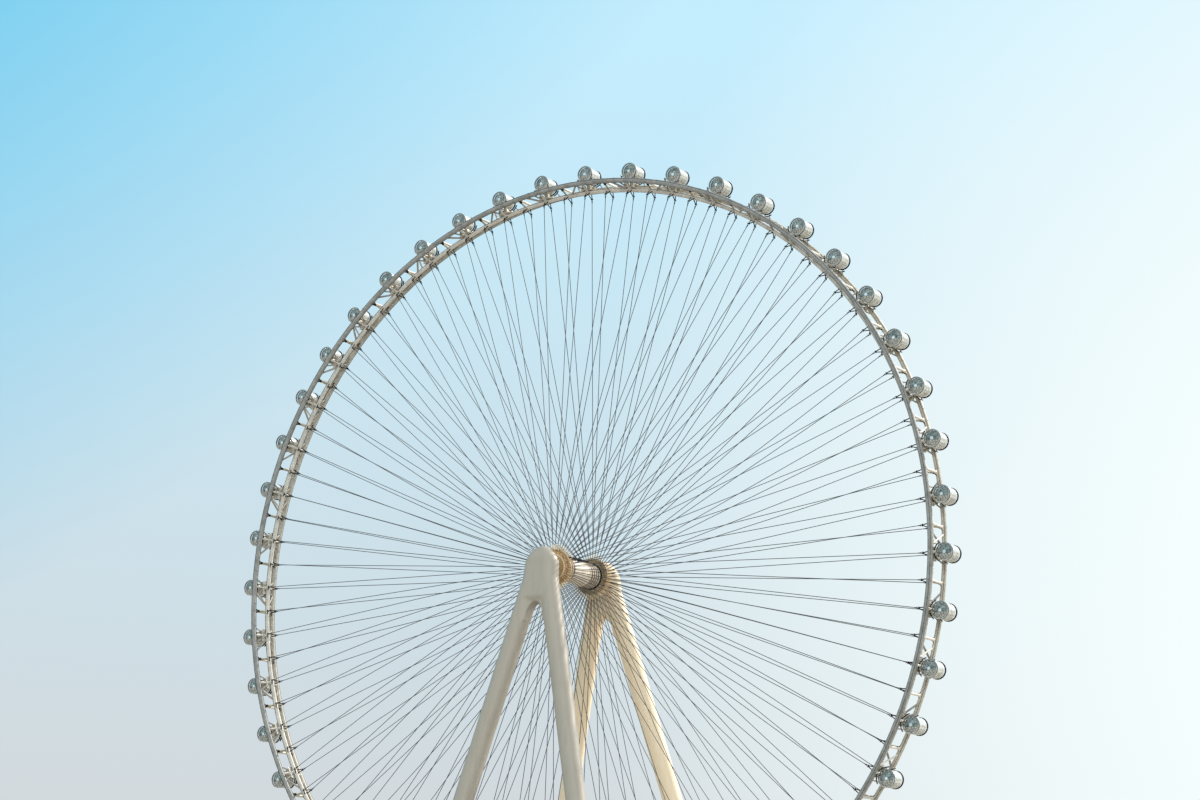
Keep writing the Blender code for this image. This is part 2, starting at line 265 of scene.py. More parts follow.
# %% A tree of nodes
class Graph:
    """A tree of nodes that is built up from expressions."""

    def __init__(self, tree):
        self.tree = tree

    def node(self, kind, settings, inputs, output=0):
        """Add a node: its settings first, then its sockets' values or wires."""
        made = self.tree.nodes.new(kind)
        for key, value in settings.items():
            setattr(made, key, value)
        for key, value in inputs.items():
            if isinstance(value, Wire):
                self.tree.links.new(value.socket, made.inputs[key])
            else:
                made.inputs[key].default_value = value
        return Wire(self, made.outputs[output])

    def place(self, stretch=(1.0, 1.0, 1.0)):
        """The point on the piece, in metres, stretched for a pattern."""
        here = self.node("ShaderNodeTexCoord", {}, {}, "Object")
        return self.node("ShaderNodeVectorMath", {"operation": "MULTIPLY"}, {0: here, 1: stretch})

    def noise(self, scale, detail, roughness=0.55, stretch=(1.0, 1.0, 1.0)):
        """Cloudy grey from 0 to 1."""
        values = {"Vector": self.place(stretch), "Scale": scale, "Detail": detail,
                  "Roughness": roughness}
        return self.node("ShaderNodeTexNoise", {}, values, "Fac")

    def mix(self, amount, first, second):
        """Blend two colours."""
        first = (*first, 1.0) if isinstance(first, tuple) else first
        second = (*second, 1.0) if isinstance(second, tuple) else second
        return self.node("ShaderNodeMix", {"data_type": "RGBA"}, {0: amount, 6: first, 7: second}, 2)


print("noise and colours can be mixed")


# %% A material that is built from wires
class Finish(Graph):
    """A material. The names of its sockets are written with _ for a space."""

    def __init__(self, name, colour, **values):
        self.material = bpy.data.materials.new(name)
        self.material.use_nodes = True
        super().__init__(self.material.node_tree)
        self.shader = self.tree.nodes["Principled BSDF"]
        for socket, value in {"Base_Color": (*colour, 1.0), **values}.items():
            self.shader.inputs[socket.replace("_", " ")].default_value = value
        print("finish:", name)

    def feed(self, **wires):
        """Join wires to the shader."""
        for socket, wire in wires.items():
            self.tree.links.new(wire.socket, self.shader.inputs[socket.replace("_", " ")])

    def bump(self, height, strength, depth):
        """Let a height pattern tilt the surface, by a real depth in metres."""
        values = {"Strength": strength, "Distance": depth, "Height": height}
        self.feed(Normal=self.node("ShaderNodeBump", {}, values))

    def peel(self, scale, detail, strength, depth):
        """A fine or a slow unevenness of the surface."""
        self.bump(self.noise(scale, detail), strength, depth)

    def weather(self, drift, dark, light, lowest, extra, stain=None):
        """Let colour and roughness drift with one pattern, and a stain cover them by another."""
        colour = self.mix(drift, dark, light)
        if stain:
            pattern, tint = stain
            colour = self.mix(1 - pattern, tint, colour)
        self.feed(Base_Color=colour, Roughness=lowest + drift * extra)


print("finishes can be written as sums")

# %% [markdown]
# ## The finishes
# The legs and heads of a wheel like this carry a warm cream paint. It isn't one flat
# colour: rain leaves soft runs down the tubes, each length of plate takes the paint a
# little differently, and the coat has a faint orange peel. Large noise is the plate,
# noise that is squeezed along Z is the runs, and fine noise is the peel. The same recipe
# is used twice: a darker copy for the near frame is painted shade, and a lighter, sandier
# copy for the far frame is painted light.

# %% Cream paint for the legs and heads
def cream_finish(name, light, dark, runs_colour):
    finish = Finish(name, light)
    plate = finish.noise(0.9, 2.0, stretch=(1.0, 1.0, 0.6))
    runs = finish.noise(1.6, 4.0, stretch=(5.0, 5.0, 0.35)).spread(0.48, 0.75)
    finish.weather(plate, dark, light, 0.40, 0.14, (runs * 0.35, runs_colour))
    finish.peel(60.0, 2.0, 0.15, 0.002)
    return finish.material


# The near frame's cream is darkened as painted shade, and the far frame's is made lighter and sandier as painted
# light.
SHADED_NEAR_CREAM = cream_finish("cream_paint", (0.43, 0.385, 0.32), (0.395, 0.35, 0.29), (0.32, 0.28, 0.225))
LIT_FAR_CREAM = cream_finish("sandy_cream_paint", (0.97, 0.80, 0.58), (0.91, 0.73, 0.51),
                          (0.78, 0.60, 0.40))
SHADED_AND_LIT_FRAME_PAINTS = {-1: SHADED_NEAR_CREAM, 1: LIT_FAR_CREAM}
print("cream for the near frame, sandy cream for the far one")

# %% [markdown]
# The rim's near tube wears a cool grey paint, and the inner one a warmer one. The far
# tube wears a paler and sandier copy of the near tube's paint, which is painted light.
# The V legs, diagonals and posts are darker, and the rungs are pale. All five share one
# recipe: a cloudy base, brown specks and a little peel.

# %% Paints for the rim
def rim_finish(name, light, dark, specks_colour):
    finish = Finish(name, light)
    cloud = finish.noise(4.5, 5.0, 0.7).spread(0.32, 0.68)
    specks = finish.noise(22.0, 3.0, 0.7).spread(0.5, 0.72)
    finish.weather(cloud, dark, light, 0.42, 0.2, (specks * 0.6, specks_colour))
    finish.peel(70.0, 2.0, 0.12, 0.002)
    return finish.material


OUTER_PAINT = rim_finish("outer_tube_paint", (0.38, 0.375, 0.355), (0.20, 0.20, 0.19), (0.12, 0.11, 0.09))
# The far tube's paler, sandier copy of the near tube's paint is painted light.
LIT_FAR_TUBE_PAINT = rim_finish("lit_far_tube_paint", (0.66, 0.61, 0.52), (0.42, 0.38, 0.31), (0.28, 0.22, 0.14))
INNER_PAINT = rim_finish("inner_tube_paint", (0.78, 0.74, 0.67), (0.52, 0.49, 0.44), (0.40, 0.34, 0.27))
STRUT_PAINT = rim_finish("strut_paint", (0.44, 0.41, 0.37), (0.27, 0.25, 0.225), (0.17, 0.14, 0.11))
RUNG_PAINT = rim_finish("rung_paint", (0.90, 0.84, 0.75), (0.68, 0.61, 0.52), (0.44, 0.35, 0.25))
print("five paints for the rim")

# %% [markdown]
# The hub is a warmer tan, and grease gathers on it. The straight cables' sockets and the
# bearing housings are orange-brown castings, and the flange plates are dark brown as
# painted shade. The crossing cables' sockets, the capsules' drives and the struts halfway
# between capsules are a dusty olive. The cables are dark, and lighter where the sheath
# has faded. All but the hub are two shades that drift into each other, so one recipe
# makes them.

# %% Finishes for the hub, the sockets, the cables and the drives
def hub_finish():
    finish = Finish("hub_paint", (0.84, 0.71, 0.58))
    grease = finish.noise(5.0, 4.0, stretch=(1.0, 3.5, 1.0)).spread(0.55, 0.8)
    finish.weather(finish.noise(2.6, 4.0), (0.74, 0.60, 0.47), (0.95, 0.84, 0.71), 0.34, 0.2,
                   (grease * 0.4, (0.50, 0.35, 0.20)))
    finish.peel(55.0, 2.0, 0.12, 0.002)
    return finish.material


def mottled_finish(name, light, dark, cloud=(12.0, 3.0), between=(0.35, 0.65), rough=(0.36, 0.2),
                   peel=(60.0, 2.0, 0.15, 0.002), **values):
    """Two shades that drift into each other, on a slightly uneven surface."""
    finish = Finish(name, light, **values)
    drift = finish.noise(*cloud)
    if between:
        drift = drift.spread(*between)
    finish.weather(drift, dark, light, *rough)
    finish.peel(*peel)
    return finish.material


HUB_PAINT = hub_finish()
SOCKET_METAL = mottled_finish(
    "socket_castings", (0.90, 0.68, 0.40), (0.40, 0.22, 0.07), (24.0, 4.0, 0.7), (0.4, 0.6),
    (0.40, 0.25), (90.0, 2.0, 0.25, 0.002), Metallic=0.1)
CABLE_SHEATH = mottled_finish(
    "cable_sheath", (0.11, 0.105, 0.10), (0.035, 0.036, 0.038), (0.8, 4.0), None,
    (0.42, 0.2), (120.0, 1.0, 0.2, 0.001), Metallic=0.2)
BLACK_STEEL = mottled_finish("black_steel", (0.018, 0.018, 0.020), (0.008, 0.008, 0.009),
                             Specular_IOR_Level=0.12)
OLIVE_PAINT = mottled_finish("olive_paint", (0.50, 0.44, 0.32), (0.26, 0.23, 0.15))
# Dark brown for the flange plates is painted shade between the sockets; the drum's ends outside the flanges take
# it too.
PLATE_SHADE_AND_DRUM_BROWN = mottled_finish("flange_shade_and_drum_brown", (0.70, 0.47, 0.22), (0.13, 0.08, 0.035), (26.0, 3.0))
DARKER_BROWN_FINISH = mottled_finish("darker_brown_finish", (0.36, 0.28, 0.21), (0.20, 0.15, 0.10))
print("finishes for the hub, the cables and the drives")

# %% [markdown]
# A capsule has white ribs between grey steel rings, and its roof is painted white as
# painted light on its sunlit top. Clear curved glass covers the upper barrel, painted
# near white as a painted reflection of the bright sky, and a duller plate the lower. The
# two ends have greener glass, darkened as painted shade for the dim inside, round one
# pale pane that is a painted reflection. Real glass this size is never quite flat, so a
# slow bump bends its reflections. An Alpha below 1 lets the inside show through.

# %% Finishes for the capsules
SHELL_WEAR = ((7.0, 3.0), None, (0.22, 0.2), (80.0, 2.0, 0.1, 0.001))
GLASS_WEAR = ((9.0, 2.0), (0.35, 0.65), (0.04, 0.06), (9.0, 1.0, 0.12, 0.004))


def glass_finish(name, light, dark, alpha):
    return mottled_finish(name, light, dark, *GLASS_WEAR, Coat_Weight=0.6, Alpha=alpha)


SHELL = mottled_finish("capsule_shell", (0.90, 0.91, 0.90), (0.78, 0.79, 0.79), *SHELL_WEAR)
RING_STEEL = mottled_finish("ring_steel", (0.34, 0.37, 0.36), (0.16, 0.18, 0.18), *SHELL_WEAR,
                            Metallic=0.2)
# The barrel glass's near white is a painted reflection of the sky, the ends' darker glass is painted shade, and
# the pale pane is a painted reflection.
BARREL_GLASS_PAINTED_REFLECTION = glass_finish("barrel_glass_painted_reflection", (0.92, 0.95, 0.95), (0.78, 0.82, 0.82), 0.80)
END_GLASS_PAINTED_SHADE = glass_finish("end_glass_painted_shade", (0.36, 0.44, 0.43), (0.07, 0.12, 0.12), 0.90)
PANE_GLASS_PAINTED_REFLECTION = glass_finish("pane_glass_painted_reflection", (0.82, 0.90, 0.93), (0.62, 0.72, 0.76), 0.95)
UNDERSIDE = mottled_finish("capsule_underside", (0.84, 0.83, 0.76), (0.52, 0.50, 0.43))
KEEL_STEEL = mottled_finish("keel_steel", (0.56, 0.54, 0.48), (0.36, 0.34, 0.29))
CABIN = mottled_finish("cabin_lining", (0.56, 0.54, 0.50), (0.44, 0.42, 0.39))
print("finishes for the capsules")

# %% [markdown]
# ## The camera
# The camera stands where it stood for the picture that this wheel is matched to: close
# to the ground, a little to the right, looking up past the wheel's lower third. Its
# place is a turn round the axle and a distance, and a long lens keeps the two sides of
# the rim almost parallel.

# %% Set up the camera
CAMERA_TURN = math.radians(33.370)
CAMERA_DISTANCE = 76.344
CAMERA_HEIGHT = 0.5
CAMERA_YAW = math.radians(32.823)
CAMERA_PITCH = math.radians(12.808)
CAMERA_ROLL = math.radians(0.5286)
CAMERA_LENS = 79.43


def make_camera():
    data = bpy.data.cameras.new("camera")
    data.lens = CAMERA_LENS
    data.sensor_width = 36.0
    data.clip_end = 1000.0
    camera = new_object("camera", data)
    camera.location = (CAMERA_DISTANCE * math.sin(CAMERA_TURN),
                       -CAMERA_DISTANCE * math.cos(CAMERA_TURN), CAMERA_HEIGHT)
    turn = Matrix.Rotation(CAMERA_YAW, 4, "Z") @ Matrix.Rotation(math.pi / 2 + CAMERA_PITCH, 4, "X")
    camera.rotation_euler = (turn @ Matrix.Rotation(CAMERA_ROLL, 4, "Z")).to_euler()
    bpy.context.scene.camera = camera


make_camera()
print(f"camera with a {CAMERA_LENS} mm lens")

# %% [markdown]
# ## Light
# The sun stands to the right and a little behind the wheel, so that the near faces are
# in soft shade and only the right edges are bright. A weak, broad fill light lifts that
# shade. The sky is grey at the horizon, blue on the left and nearly white on the right,
# and a plain pale floor throws some of it back up. The Standard view shows colours as
# they are, where Blender's usual one would grey the bright sky.

# %% Set up the light and the floor
SUN_PLACE = (60.0, 36.0)
FILL_PLACE = (-57.0, 14.0)
WARM_WHITE = (1.0, 0.94, 0.86)
BLUE_PLACE = (160.0, 37.6)
WHITE_PLACE = (101.0, 7.5)
FLOOR_RADIUS = 160.0
FLOOR_DROP = 0.002


def sky_direction(side, height):
    """The unit vector to a place in the sky, in degrees from +X towards +Y, and up."""
    turn, rise = math.radians(side), math.radians(height)
    return Vector((math.cos(turn) * math.cos(rise), math.sin(turn) * math.cos(rise), math.sin(rise)))


def make_lamp(name, place, energy, spread):
    data = bpy.data.lights.new(name, "SUN")
    data.energy = energy
    data.angle = math.radians(spread)
    data.color = WARM_WHITE
    lamp = new_object(name, data)
    lamp.rotation_euler = sky_direction(*place).to_track_quat("Z", "Y").to_euler()


def make_sky():
    world = bpy.data.worlds.new("pale_sky")
    world.use_nodes = True
    graph = Graph(world.node_tree)
    look = graph.node("ShaderNodeTexCoord", {}, {}, "Generated")
    height = graph.node("ShaderNodeSeparateXYZ", {}, {0: look}, 2)
    colour = graph.mix(height.spread(0.0, 0.35), (0.67, 0.66, 0.66), (0.55, 0.845, 0.99))
    colour = graph.mix(height.spread(0.4, 0.7), colour, (0.84, 0.91, 0.93))
    for place, edge, core, tint in ((BLUE_PLACE, 0.80, 0.938, (0.077, 0.545, 0.827)),
                                    (WHITE_PLACE, 0.925, 0.990, (0.92, 1.0, 1.0))):
        nearness = graph.node("ShaderNodeVectorMath", {"operation": "DOT_PRODUCT"},
                              {0: look, 1: sky_direction(*place)}, "Value")
        colour = graph.mix(nearness.spread(edge, core), colour, tint)
    graph.tree.links.new(colour.socket, graph.tree.nodes["Background"].inputs["Color"])
    bpy.context.scene.world = world


def make_floor():
    finish = Finish("pale_floor", (0.36, 0.33, 0.29), Roughness=0.8)
    finish.feed(Base_Color=finish.mix(finish.noise(0.2, 3.0), (0.34, 0.31, 0.275), (0.38, 0.35, 0.305)))
    bm = bmesh.new()
    bmesh.ops.create_circle(bm, cap_ends=True, segments=96, radius=FLOOR_RADIUS)
    floor = new_object("floor", new_mesh("floor", bm))
    floor.data.materials.append(finish.material)
    floor.location.z = -FLOOR_DROP


make_lamp("sun", SUN_PLACE, energy=4.4, spread=3.0)
make_lamp("fill", FILL_PLACE, energy=0.9, spread=40.0)
make_sky()
make_floor()
bpy.context.scene.view_settings.view_transform = "Standard"
print("sun, fill light, sky and floor")

# %% [markdown]
# ## The rim's three tubes
# The rim is a ring truss: two outer tubes, front and back, and an inner tube that the
# cables pull on. A circle is drawn at three o'clock and spun all the way round with
# use_merge, which closes the ring. Short collars stand for the flanged joints, because
# the real tubes come in straight lengths that are bolted together. Thin dark conduits
# that feed the capsules run along the tubes, and are spun in the same way.

# %% Sizes of the tubes
OUTER_TUBE = 0.072
INNER_TUBE = 0.066
TUBE_SIDES = 20
HALF_BAY = BAY / 2
NEAR_GREY, INNER_WARM, CONDUIT_BLACK, FAR_LIT = range(4)
RINGS = ((OUTER_CIRCLE, -OUTER_Y, OUTER_TUBE, NEAR_GREY), (OUTER_CIRCLE, OUTER_Y, OUTER_TUBE, FAR_LIT),
         (INNER_CIRCLE, 0.0, INNER_TUBE, INNER_WARM))
CONDUIT = 0.005
CONDUIT_ANGLES = (60.0, 150.0, 300.0)
COLLARS = ((0.0, 0.016, 1.07), (0.36, 0.004, 1.03))


def sections():
    """The circles that are spun: each tube, and after it the conduits that lie on it."""
    for circle, y, radius, _ in RINGS:
        yield circle, y, radius, TUBE_SIDES
        reach = radius + CONDUIT * 0.8
        for angle in CONDUIT_ANGLES:
            turn = math.radians(angle)
            yield circle + reach * math.cos(turn), y + reach * math.sin(turn), CONDUIT, 6


def tube_finish(middle):
    """Which finish a face of the spun rings has, by which circle its middle is on."""
    reach = math.hypot(middle.x, middle.z)
    for circle, y, radius, finish in RINGS:
        if math.hypot(reach - circle, middle.y - y) < radius + 0.001:
            return finish
    return CONDUIT_BLACK


print(f"{len(list(sections()))} rings to spin")


# %% Make the tubes
def make_tubes():
    bm = bmesh.new()
    for x, y, radius, sides in sections():
        bmesh.ops.create_circle(bm, segments=sides, radius=radius,
                                matrix=Matrix.Translation((x, y, 0.0)))
    bmesh.ops.spin(bm, geom=bm.verts[:] + bm.edges[:], cent=(0, 0, 0), axis=Y_AXIS,
                   angle=math.tau, steps=4 * BAYS, use_merge=True)
    for face in bm.faces:
        face.material_index = tube_finish(face.calc_center_median())
    collars = []
    for circle, y, radius, finish in RINGS:
        for z, half, proud in COLLARS:
            collars += bar(bm, (circle, y, z - half), (circle, y, z + half), radius * proud,
                           TUBE_SIDES, finish=finish)
    edges = {edge for vert in collars for edge in vert.link_edges}
    copy_round(bm, 2 * BAYS, collars + list(edges) + list(faces_at(collars)))
    lift_onto_axle(bm)
    finishes = [OUTER_PAINT, INNER_PAINT, BLACK_STEEL, LIT_FAR_TUBE_PAINT]
    make_piece("rim_tubes", bm, finishes, "wheel", ["rim"])


make_tubes()

# %% [markdown]
# ## Frames and diagonals
# At each station a triangular frame ties the three tubes together. Halfway between two
# capsules its struts end in a crow's foot: two short legs that straddle the joint and
# leave a hole to look through. Below a capsule a strut stands between two thinner legs
# that spread along the outer tube, as a V. The diagonals change their lean from one
# capsule to the next, so the unit that repeats is two bays long, and it is copied 24
# times.

# %% Struts, crow's feet and their sizes
RUNG = 0.036
STRUT = 0.030
CROW_SPREAD = 0.11
CROW_REACH = 0.17
CROW_LEG = 0.017
V_LEG = 0.023
V_SPREAD = 0.26
SHOE_LENGTH = 0.13
SHOE_START = 0.042
SHOE_END = 0.062
PALE, DARK_PAINT, BLACK, RUNG_PALE, OLIVE = range(5)


def strut_with_foot(bm, start, end, way_round, radius, finish, foot_finish):
    """A strut that meets the tube at its start with two short legs."""
    tip = start + (end - start).normalized() * CROW_REACH
    for side in (-1, 1):
        bar(bm, start + way_round * side * CROW_SPREAD, tip, CROW_LEG, 8, finish=foot_finish)
    ball = bmesh.ops.create_uvsphere(bm, u_segments=10, v_segments=6, radius=radius * 1.35,
                                     matrix=Matrix.Translation(tip))
    paint_faces(ball["verts"], foot_finish)
    bar(bm, tip, end, radius, finish=finish)


def middle_frame(bm, angle):
    """The frame halfway between two capsules."""
    way_round = around(1.0, angle + math.pi / 2, 0.0)
    inner = around(INNER_CIRCLE, angle, 0.0)
    centre = around(OUTER_CIRCLE, angle, 0.0)
    for side in (-1, 1):
        outer = around(OUTER_CIRCLE, angle, side * OUTER_Y)
        strut_with_foot(bm, outer, inner, way_round, STRUT, OLIVE, BLACK)
        strut_with_foot(bm, outer, centre, way_round, RUNG, RUNG_PALE, RUNG_PALE)


def capsule_frame(bm, angle):
    """The frame that carries a capsule."""
    inner = around(INNER_CIRCLE, angle, 0.0)
    seat = OUTER_CIRCLE + RUNG
    bar(bm, around(seat, angle, -OUTER_Y), around(seat, angle, OUTER_Y), RUNG, 14, finish=RUNG_PALE)
    for side in (-1, 1):
        outer = around(OUTER_CIRCLE, angle, side * OUTER_Y)
        along = (inner - outer).normalized()
        bar(bm, outer, inner, STRUT, finish=PALE)
        bar(bm, inner - along * SHOE_LENGTH, inner, SHOE_START, 12, SHOE_END, PALE)
        for way in (-1, 1):
            foot = around(OUTER_CIRCLE, angle + way * V_SPREAD / OUTER_CIRCLE, side * OUTER_Y)
            bar(bm, foot, inner, V_LEG, 8, finish=DARK_PAINT)


print(f"frames every {math.degrees(HALF_BAY):.2f} degrees")

# %% [markdown]
# A diagonal's ends are given as shares of a half bay, so that they stay clear of the
# frames. The pale one runs from the far tube to the near one.

# %% Make two bays of frames and copy them round
DIAGONAL = 0.029
CROSS_DIAGONAL = 0.025
LEAN_OUT = (0.8, 0.22)
LEAN_IN = (0.74, 0.1)
LEAN_ACROSS = (0.78, 0.2)


def add_diagonals(bm):
    out_start, out_end = [HALF_BAY * share for share in LEAN_OUT]
    in_start, in_end = [HALF_BAY * share - BAY for share in LEAN_IN]
    start, end = [HALF_BAY * share for share in LEAN_ACROSS]
    for side in (-1, 1):
        y = side * OUTER_Y
        bar(bm, around(INNER_CIRCLE, out_start, 0.0), around(OUTER_CIRCLE, out_end, y), DIAGONAL,
            finish=DARK_PAINT)
        bar(bm, around(OUTER_CIRCLE, in_start, y), around(INNER_CIRCLE, in_end, 0.0), DIAGONAL,
            finish=DARK_PAINT)
    bar(bm, around(OUTER_CIRCLE, start, OUTER_Y), around(OUTER_CIRCLE, end, -OUTER_Y),
        CROSS_DIAGONAL, finish=RUNG_PALE)


def make_frames():
    bm = bmesh.new()
    for bay in (0, 1):
        capsule_frame(bm, -bay * BAY)
        middle_frame(bm, HALF_BAY - bay * BAY)
    add_diagonals(bm)
    copy_round(bm, BAYS // 2)
    lift_onto_axle(bm)
    finishes = [INNER_PAINT, STRUT_PAINT, BLACK_STEEL, RUNG_PAINT, OLIVE_PAINT]
    make_piece("rim_frames", bm, finishes, "wheel")


make_frames()

# %% [markdown]
# ## Cradles
# Each capsule turns inside two rings, and each ring runs on rollers in a dark arc that
# is fixed to the rim. A small square profile is spun through the arc only. Posts tie the
# arc to the outer tubes, and the drives that turn the capsule stand inside the truss on
# a grating.

# %% Sizes of a cradle
RING_Y = 0.266
RING_HALF = 0.0175
RING_OUTER = CAPSULE_RADIUS - 0.0005
ARC_INNER = 0.286
ARC_OUTER = 0.308
ARC_HALF = 0.015
ARC_REACH = math.radians(60.0)
ROLLER_ANGLES = [math.radians(angle) for angle in (-50, -17, 17, 50)]
ROLLER_CIRCLE = (ARC_INNER + RING_OUTER) / 2
ROLLER_RADIUS = (ARC_INNER - RING_OUTER) / 2 - 0.001
POST = 0.018
POST_SPREAD = 0.24
POST_ANGLE = math.radians(44)
DRIVE_SIZE = (0.12, 0.12, 0.11)
DRIVE_SPREAD = 0.10
ARM = 0.022
ARM_ANGLE = 0.3
GRATING_SIZE = (0.010, 0.15, 0.19)
POST_GREY, ARC_BLACK, DRIVE_OLIVE, GRATING_PALE = range(4)


def hubward(radius, angle, y):
    """A point round the capsule's own axis. Angle 0 points to the hub."""
    return Vector((-radius * math.cos(angle), y, radius * math.sin(angle)))


def add_arc(bm, y):
    corners = ((ARC_INNER, -ARC_HALF), (ARC_OUTER, -ARC_HALF), (ARC_OUTER, ARC_HALF), (ARC_INNER, ARC_HALF))
    points = [bm.verts.new(hubward(radius, -ARC_REACH, y + shift)) for radius, shift in corners]
    section = bm.faces.new(points)
    old = set(bm.verts) - set(points)
    swept = bmesh.ops.spin(bm, geom=[section] + section.edges[:] + points, cent=(0, 0, 0), axis=Y_AXIS,
                           angle=2 * ARC_REACH, steps=20)
    end = [item for item in swept["geom_last"] if isinstance(item, bmesh.types.BMVert)]
    assert end[0].co.z > 0.0, "the arc must pass the hub side"
    paint_faces([vert for vert in bm.verts if vert not in old], ARC_BLACK)


print(f"rollers {ROLLER_RADIUS * 2000:.0f} mm across")


# %% Make the cradles
def make_cradles():
    bm = bmesh.new()
    drop = OUTER_CIRCLE - CAPSULE_CIRCLE
    for side in (-1, 1):
        y = side * RING_Y
        add_arc(bm, y)
        for angle in ROLLER_ANGLES:
            middle = hubward(ROLLER_CIRCLE, angle, y)
            bar(bm, middle - Y_AXIS * ARC_HALF, middle + Y_AXIS * ARC_HALF, ROLLER_RADIUS)
        for way in (-1, 1):
            z = way * DRIVE_SPREAD
            bar(bm, (drop, side * OUTER_Y, way * POST_SPREAD), hubward(ARC_OUTER, way * POST_ANGLE, y),
                POST, 8, finish=POST_GREY)
            block(bm, (drop - 0.062, side * 0.135, z), DRIVE_SIZE, bevel=0.012, finish=DRIVE_OLIVE)
            bar(bm, (drop - 0.02, side * 0.15, z), hubward(ARC_OUTER, way * ARM_ANGLE, y), ARM, 8,
                finish=POST_GREY)
            block(bm, (drop - 0.126, side * 0.115, z), GRATING_SIZE, finish=GRATING_PALE)
    bmesh.ops.translate(bm, verts=bm.verts, vec=(CAPSULE_CIRCLE, 0.0, 0.0))
    copy_round(bm, BAYS)
    lift_onto_axle(bm)
    finishes = [STRUT_PAINT, BLACK_STEEL, OLIVE_PAINT, INNER_PAINT]
    make_piece("capsule_cradles", bm, finishes, "wheel")


make_cradles()

# %% [markdown]
# ## The cables
# Each hub flange holds 96 cables. Beside a capsule the cable stays on its own side of
# the rim, and halfway between it crosses to the other side. Every cable starts in a
# cast socket on the flange and ends in a black fork that is pinned to a pair of lugs.
# The whole run is worked out from its two end points, so that fork, cable and socket
# lie on one line.

# %% Where the cables run
CABLE = 0.0098
FLANGE_Y = 1.0
SOCKET_START = 0.375
SOCKET_SHIFT = 0.022
LUG_CIRCLE = INNER_CIRCLE - 0.165
LUG_Y = 0.19
CROSSING_OFFSET = 0.015


def cable_run(side, crosses):
    """The two ends of a cable's line, modelled at three o'clock."""
    offset = side * CROSSING_OFFSET if crosses else 0.0
    shift = -SOCKET_SHIFT if crosses else SOCKET_SHIFT
    root = Vector((SOCKET_START, side * (FLANGE_Y + shift), offset))
    tip = Vector((LUG_CIRCLE, side * (-LUG_Y if crosses else LUG_Y), offset))
    return root, tip


def add_both_runs(bm, side, add_part):
    """Add a part for a straight and for a crossing cable, and copy the two round."""
    add_part(bm, side, False)
    crossing = add_part(bm, side, True)
    bmesh.ops.rotate(bm, verts=crossing, cent=(0, 0, 0), matrix=Matrix.Rotation(-HALF_BAY, 3, "Y"))
    copy_round(bm, BAYS)


root, tip = cable_run(-1, False)
print(f"a cable is {(tip - root).length:.2f} m long")

# %% Make the cables, their forks and the lugs
CABLE_START = 0.2
CABLE_END = 0.05
FORK_START = 0.13
FORK_END = 0.045
FORK_RADIUS = 0.018
FORK_GAP = 0.016
PRONG_START = 0.055
PRONG_END = 0.02
PRONG = 0.008
PIN = 0.014
PIN_HALF = 0.036
LUG_LEG = 0.015
LUG_FOOT = (INNER_CIRCLE - 0.030, 0.048, 0.062)
SHEATH, FITTING = range(2)


def add_cable(bm, side, crosses):
    """A cable, the fork on its end, the pin through that, and the legs of the lugs."""
    root, tip = cable_run(side, crosses)
    along = (tip - root).normalized()
    verts = bar(bm, root + along * CABLE_START, tip - along * CABLE_END, CABLE, 8, finish=SHEATH)
    verts += bar(bm, tip - along * FORK_START, tip - along * FORK_END, CABLE * 1.2, 8, FORK_RADIUS, FITTING)
    verts += bar(bm, tip - UP * PIN_HALF, tip + UP * PIN_HALF, PIN, 8, finish=FITTING)
    foot_x, foot_y, foot_z = LUG_FOOT
    for way in (-1, 1):
        prong = UP * way * FORK_GAP
        verts += bar(bm, tip - along * PRONG_START + prong, tip + along * PRONG_END + prong, PRONG, 6,
                     finish=FITTING)
        foot = Vector((foot_x, math.copysign(foot_y, tip.y), way * foot_z + tip.z))
        verts += bar(bm, foot, tip + prong * 0.5, LUG_LEG, 6, finish=FITTING)
    return verts


for row, side in ROWS.items():
    bm = bmesh.new()
    add_both_runs(bm, side, add_cable)
    lift_onto_axle(bm)
    make_piece(f"{row}_cables", bm, [CABLE_SHEATH, BLACK_STEEL], "wheel",
               [f"{row}_flange_and_cables"])

# %% [markdown]
# ## Flanges and sockets
# A flange is a ring of plate on the drum, and it is almost hidden by the sockets that
# stand on it like the petals of a daisy, one row on each face. The plate is painted dark
# brown as painted shade between the sockets. Each socket is a tapered sleeve with a
# greased collar, which is a few cones on one line. A black ring in the joint between the
# flange and the drum is a painted shadow of the gap there.

# %% Make the flanges and the sockets
SOCKET_RADIUS = 0.0165
SOCKET_PARTS = ((0.0, 0.13, SOCKET_RADIUS * 0.8, None), (0.10, 0.13, SOCKET_RADIUS * 1.2, None),
                (0.13, 0.20, SOCKET_RADIUS * 0.85, None), (0.20, 0.31, SOCKET_RADIUS * 0.85, CABLE * 1.15))
FLANGE_BORE = 0.34
FLANGE_EDGE = 0.54
FLANGE_HALF = 0.011
HOOP_EDGE = 0.376
HOOP_HALF = 0.05
SHADOW_RING_EDGE = 0.385
SHADOW_RING_START = 0.09
SHADOW_RING_END = 0.045
SHADOW_RING, HOOP, CASTING, SHADED_PLATE, CROSSING_CASTING, COLLAR = range(6)


def add_socket(bm, side, crosses):
    """A sleeve, a collar and a long taper on a cable's line."""
    root, tip = cable_run(side, crosses)
    along = (tip - root).normalized()
    verts = []
    for start, end, radius, end_radius in SOCKET_PARTS:
        finish = CROSSING_CASTING if crosses else CASTING
        if radius > SOCKET_RADIUS:
            finish = COLLAR
        verts += bar(bm, root + along * start, root + along * end, radius, 10, end_radius, finish)
    return verts


